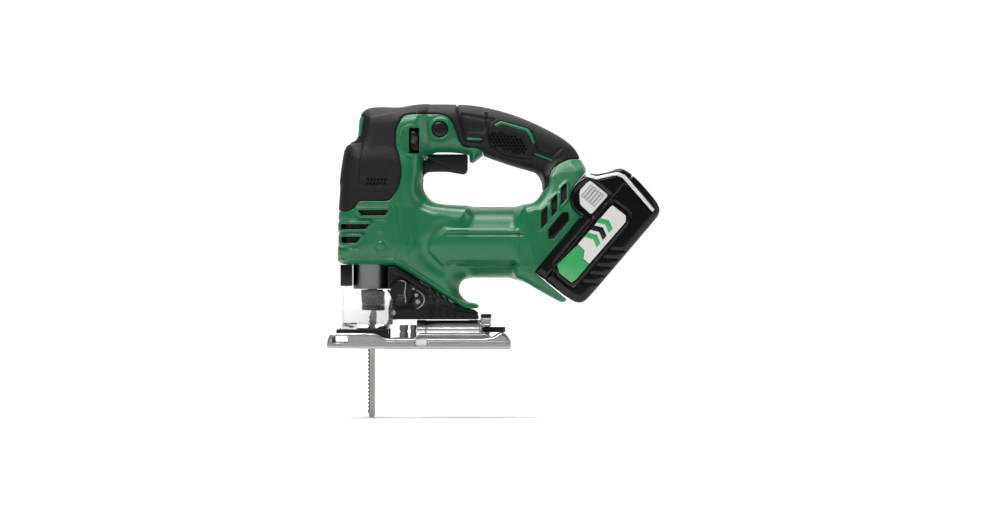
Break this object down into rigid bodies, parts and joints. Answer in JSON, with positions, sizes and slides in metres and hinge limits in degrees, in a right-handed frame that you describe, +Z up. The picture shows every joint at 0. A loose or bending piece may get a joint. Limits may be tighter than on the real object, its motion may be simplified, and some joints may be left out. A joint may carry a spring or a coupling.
{
  "type": "jigsaw power tool",
  "caption": "Cordless D-handle jigsaw with tilting sole plate, reciprocating blade, trigger, lock button, speed dial, orbital selector, clear chip cover and slide-on battery pack.",
  "frame": {"origin": "middle of the sole plate's underside, where the bevel axis crosses the blade's plane", "axes": "+X to the back of the tool, +Y to its right side, +Z up out of the sole"},
  "size_m": [0.2815, 0.078, 0.2674],
  "materials": {
    "housing_green": "satin moulded nylon",
    "soft_grip": "fine leather-like overmoulded elastomer",
    "black_plastic": "lightly textured black nylon",
    "pack_plastic": "polished black nylon",
    "pale_plastic": "light grey satin plastic",
    "clear_cover": "clear polycarbonate",
    "sole_steel": "brushed pressed steel",
    "machine_steel": "turned steel",
    "blade_steel": "ground blade steel",
    "cast_alloy": "die-cast alloy",
    "dark_steel": "blackened steel",
    "bronze": "sintered bronze",
    "cells": "sleeved cells",
    "board": "circuit board",
    "contacts": "plated contacts"
  },
  "bodies": {
    "base": {"sole_plate": "sole_steel", "plate_liner": "black_plastic", "splinter_guard": "black_plastic", "tilt_bracket": "cast_alloy", "clamp_bolt": "machine_steel"},
    "bevel_lever": {"base_lever": "black_plastic"},
    "tool": {"housing_left": "housing_green", "housing_right": "housing_green", "grip_left": "soft_grip", "grip_right": "soft_grip", "gear_cover": "black_plastic", "front_mount": "black_plastic", "lamp_lens": "clear_cover", "gear_case": "cast_alloy", "plunger_bush_lower": "bronze", "plunger_bush_upper": "bronze", "dust_seal": "soft_grip", "gear_axle": "machine_steel", "motor_bearing_front": "machine_steel", "motor_bearing_rear": "machine_steel", "motor_stator": "machine_steel", "selector_plate": "black_plastic", "trigger_pin": "machine_steel", "trigger_switch": "black_plastic", "speed_control": "black_plastic", "controller_case": "cast_alloy", "terminal_block": "black_plastic", "roller_pin": "machine_steel", "screw_front_lower": "machine_steel", "screw_front_upper": "machine_steel", "screw_under_barrel": "machine_steel", "screw_rear_barrel": "machine_steel", "screw_handle_middle": "machine_steel", "screw_handle_rear": "machine_steel"},
    "rotor": {"rotor_core": "machine_steel", "motor_shaft": "machine_steel", "motor_fan": "black_plastic"},
    "gear": {"drive_gear": "machine_steel", "crank_pin": "machine_steel"},
    "plunger": {"plunger_rod": "machine_steel", "crosshead": "machine_steel", "blade_holder": "dark_steel"},
    "blade_clamp": {"clamp_collar": "black_plastic"},
    "blade": {"saw_blade": "blade_steel"},
    "counterweight": {"counterweight": "cast_alloy"},
    "roller_arm": {"roller_holder": "machine_steel"},
    "roller": {"guide_roller": "machine_steel"},
    "selector": {"orbital_selector": "black_plastic"},
    "trigger": {"trigger": "black_plastic"},
    "lock_button": {"lock_button": "black_plastic"},
    "speed_dial": {"speed_dial": "black_plastic"},
    "chip_cover": {"chip_cover": "clear_cover"},
    "battery": {"battery_cover": "pack_plastic", "battery_case": "pack_plastic", "cell_pack": "cells", "battery_board": "board", "battery_terminals": "contacts"},
    "latch_left": {"latch_left": "pale_plastic"},
    "latch_right": {"latch_right": "pale_plastic"}
  },
  "joints": [
    {"name": "bevel_tilt", "type": "hinge", "parent": "base", "child": "tool", "pos_m": [0, 0, 0], "axis": [1, 0, 0], "range_deg": [-45, 45]},
    {"name": "bevel_lever_swing", "type": "hinge", "parent": "base", "child": "bevel_lever", "pos_m": [0.0573, 0, 0.016], "axis": [0, 0, 1], "range_deg": [-60, 60]},
    {"name": "gear_spin", "type": "hinge", "parent": "tool", "child": "gear", "pos_m": [-0.0165, 0, 0.117], "axis": [1, 0, 0], "continuous": true},
    {"name": "motor_spin", "type": "hinge", "parent": "tool", "child": "rotor", "pos_m": [0.03, 0, 0.09], "axis": [1, 0, 0], "continuous": true},
    {"name": "plunger_stroke", "type": "slide", "parent": "tool", "child": "plunger", "axis": [0, 0, 1], "range_m": [-0.013, 0.013]},
    {"name": "counterweight_stroke", "type": "slide", "parent": "tool", "child": "counterweight", "axis": [0, 0, 1], "range_m": [-0.0065, 0.0065]},
    {"name": "blade_clamp_turn", "type": "hinge", "parent": "plunger", "child": "blade_clamp", "pos_m": [-0.041, 0, 0.032], "axis": [0, 0, -1], "range_deg": [0, 70], "stiffness_Nm_per_rad": 0.02, "springref_deg": -17.19},
    {"name": "blade_release", "type": "slide", "parent": "plunger", "child": "blade", "axis": [0, 0, -1], "range_m": [0, 0.03]},
    {"name": "roller_swing", "type": "hinge", "parent": "tool", "child": "roller_arm", "pos_m": [-0.0225, 0, 0.0303], "axis": [0, -1, 0], "range_deg": [0, 3]},
    {"name": "roller_spin", "type": "hinge", "parent": "roller_arm", "child": "roller", "pos_m": [-0.0322, 0, 0.0132], "axis": [0, 1, 0], "continuous": true},
    {"name": "selector_turn", "type": "hinge", "parent": "tool", "child": "selector", "pos_m": [-0.0155, -0.026, 0.0475], "axis": [0, 1, 0], "range_deg": [0, 75]},
    {"name": "trigger_pull", "type": "hinge", "parent": "tool", "child": "trigger", "pos_m": [0.005, 0, 0.162], "axis": [0, -1, 0], "range_deg": [0, 8], "stiffness_Nm_per_rad": 0.6, "springref_deg": -17.19},
    {"name": "lock_press", "type": "slide", "parent": "tool", "child": "lock_button", "axis": [0, 1, 0], "range_m": [0, 0.003], "stiffness_N_per_m": 600, "springref_m": -0.002},
    {"name": "dial_turn", "type": "hinge", "parent": "tool", "child": "speed_dial", "pos_m": [-0.0045, -0.0165, 0.1765], "axis": [1, 0, 0], "range_deg": [-150, 150]},
    {"name": "chip_cover_pull", "type": "slide", "parent": "tool", "child": "chip_cover", "axis": [-1, 0, 0], "range_m": [0, 0.007]},
    {"name": "battery_slide", "type": "slide", "parent": "tool", "child": "battery", "axis": [0.6428, 0, 0.766], "range_m": [0, 0.12]},
    {"name": "latch_left_press", "type": "slide", "parent": "battery", "child": "latch_left", "axis": [0, 1, 0], "range_m": [0, 0.0025], "stiffness_N_per_m": 900, "springref_m": -0.002},
    {"name": "latch_right_press", "type": "slide", "parent": "battery", "child": "latch_right", "axis": [0, -1, 0], "range_m": [0, 0.0025], "stiffness_N_per_m": 900, "springref_m": -0.002}
  ],
  "couplings": [
    {"joint": "motor_spin", "follows": "gear_spin", "ratio": -5.75},
    {"joint": "counterweight_stroke", "follows": "plunger_stroke", "ratio": -0.5}
  ]
}
